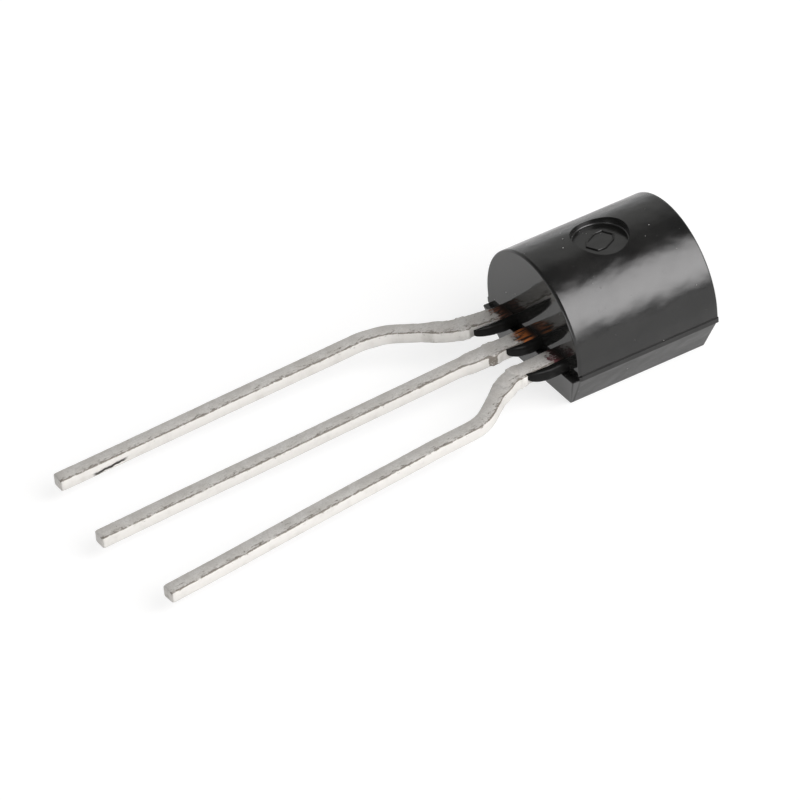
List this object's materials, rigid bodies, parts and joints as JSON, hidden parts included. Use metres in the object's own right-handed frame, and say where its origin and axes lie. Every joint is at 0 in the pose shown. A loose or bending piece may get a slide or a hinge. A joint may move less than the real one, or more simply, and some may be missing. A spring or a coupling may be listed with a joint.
{
  "type": "to-92 transistor",
  "caption": "Small black moulded transistor with a flat front, a round back and tinned leads, the outer ones formed outwards for a wider board pitch.",
  "frame": {"origin": "middle of the flat front face, on the face", "axes": "+Y from the lead tips into the body, +Z from the flat towards the round back, +X across the leads towards the emitter lead"},
  "size_m": [0.0063, 0.0179, 0.0037],
  "materials": {
    "moulded_epoxy": "black transfer-moulded epoxy, glossy with faint flow marks and dust",
    "tinned_copper": "satin tin plate over copper, bare copper where the trim tool and resin left it",
    "silicon": "polished silicon",
    "attach_film": "silver-filled adhesive",
    "bond_gold": "drawn gold wire"
  },
  "bodies": {
    "root": {"epoxy_body": "moulded_epoxy", "collector_lead": "tinned_copper", "base_lead": "tinned_copper", "emitter_lead": "tinned_copper", "silicon_die": "silicon", "die_attach": "attach_film", "base_bond_wire": "bond_gold", "emitter_bond_wire": "bond_gold"}
  },
  "joints": []
}
